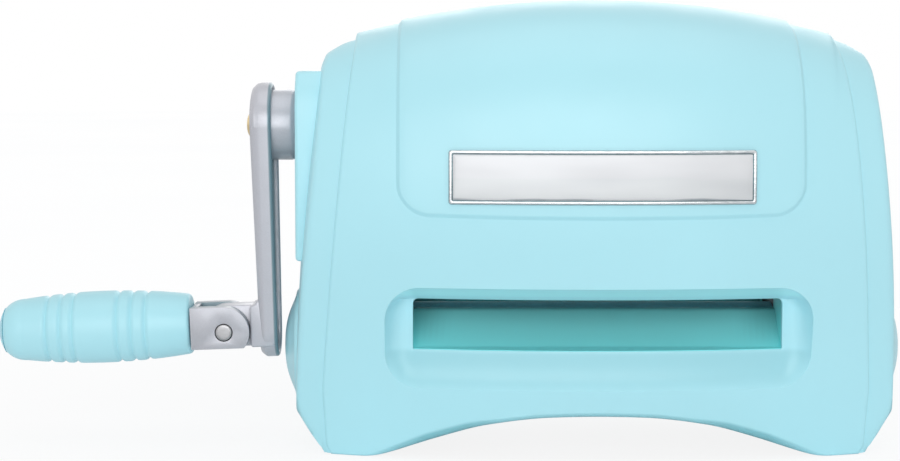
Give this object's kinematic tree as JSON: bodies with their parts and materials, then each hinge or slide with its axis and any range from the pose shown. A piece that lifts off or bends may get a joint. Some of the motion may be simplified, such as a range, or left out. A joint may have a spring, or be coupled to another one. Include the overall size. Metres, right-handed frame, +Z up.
{
  "type": "die cutting machine",
  "caption": "Hand-cranked roller machine that presses cutting plates through a slot between two geared rollers, with a folding crank grip.",
  "frame": {"origin": "on the table under the middle of the whole machine, crank included, in the plane of the rollers' axes; the body's own middle lies 63.8 mm to +X", "axes": "+Z up, -Y the front with the name plate, -X the crank side, +X to the viewer's right"},
  "size_m": [0.3987, 0.1394, 0.196],
  "materials": {
    "aqua_plastic": "satin moulded ABS, pale aqua",
    "teal_plastic": "moulded ABS, teal in the shade of the slot",
    "chrome_plate": "polished, bevelled border",
    "grey_paint": "silver-grey satin paint on a casting",
    "brass_cap": "satin",
    "bright_steel": "turned or zinc plated",
    "frame_steel": "zinc grey sheet steel",
    "roller_steel": "ground tube",
    "bronze": "sintered bronze",
    "gear_plastic": "natural acetal",
    "rubber": "matte"
  },
  "bodies": {
    "housing": {"front_shell": "aqua_plastic", "rear_shell": "aqua_plastic", "left_side_cover": "aqua_plastic", "right_side_cover": "aqua_plastic", "name_plate": "chrome_plate", "front_feed_ramp": "teal_plastic", "rear_feed_ramp": "teal_plastic", "base_plate": "frame_steel", "rubber_feet": "rubber", "left_frame": "frame_steel", "right_frame": "frame_steel", "tie_rods": "bright_steel", "tie_rod_nuts": "bright_steel", "roller_bushes": "bronze", "crank_bushes": "bronze", "base_screws": "bright_steel", "frame_screws": "bright_steel", "shell_screws": "bright_steel", "cover_screws": "bright_steel"},
    "upper_roller": {"upper_roller_tube": "roller_steel", "upper_roller_shaft": "bright_steel", "reduction_gear": "gear_plastic", "upper_sync_gear": "gear_plastic", "upper_gear_keys": "bright_steel", "upper_retaining_rings": "bright_steel"},
    "lower_roller": {"lower_roller_tube": "roller_steel", "lower_roller_shaft": "bright_steel", "lower_sync_gear": "gear_plastic", "lower_gear_key": "bright_steel", "lower_retaining_rings": "bright_steel"},
    "crank": {"crank_shaft": "bright_steel", "crank_pinion": "gear_plastic", "pinion_key": "bright_steel", "crank_retaining_ring": "bright_steel", "crank_arm": "grey_paint", "crank_cap_nut": "brass_cap", "hinge_pin": "bright_steel"},
    "folding_fork": {"grip_fork": "grey_paint", "grip_spindle": "bright_steel"},
    "grip": {"grip_sleeve": "aqua_plastic", "grip_end_cap": "aqua_plastic"}
  },
  "joints": [
    {"name": "crank_spin", "type": "hinge", "parent": "housing", "child": "crank", "pos_m": [-0.05624, 0, 0.141], "axis": [1, 0, 0], "continuous": true},
    {"name": "upper_roller_spin", "type": "hinge", "parent": "housing", "child": "upper_roller", "pos_m": [0.06376, 0, 0.087], "axis": [1, 0, 0], "continuous": true},
    {"name": "lower_roller_spin", "type": "hinge", "parent": "housing", "child": "lower_roller", "pos_m": [0.06376, 0, 0.0435], "axis": [1, 0, 0], "continuous": true},
    {"name": "grip_fold", "type": "hinge", "parent": "crank", "child": "folding_fork", "pos_m": [-0.09812, 0, 0.05015], "axis": [0, 1, 0], "range_deg": [0, 82]},
    {"name": "grip_spin", "type": "hinge", "parent": "folding_fork", "child": "grip", "pos_m": [-0.15569, 0, 0.05094], "axis": [-0.9993, 0, -0.0366], "continuous": true}
  ],
  "couplings": [
    {"joint": "upper_roller_spin", "follows": "crank_spin", "ratio": -0.33333},
    {"joint": "lower_roller_spin", "follows": "crank_spin", "ratio": 0.33333}
  ]
}
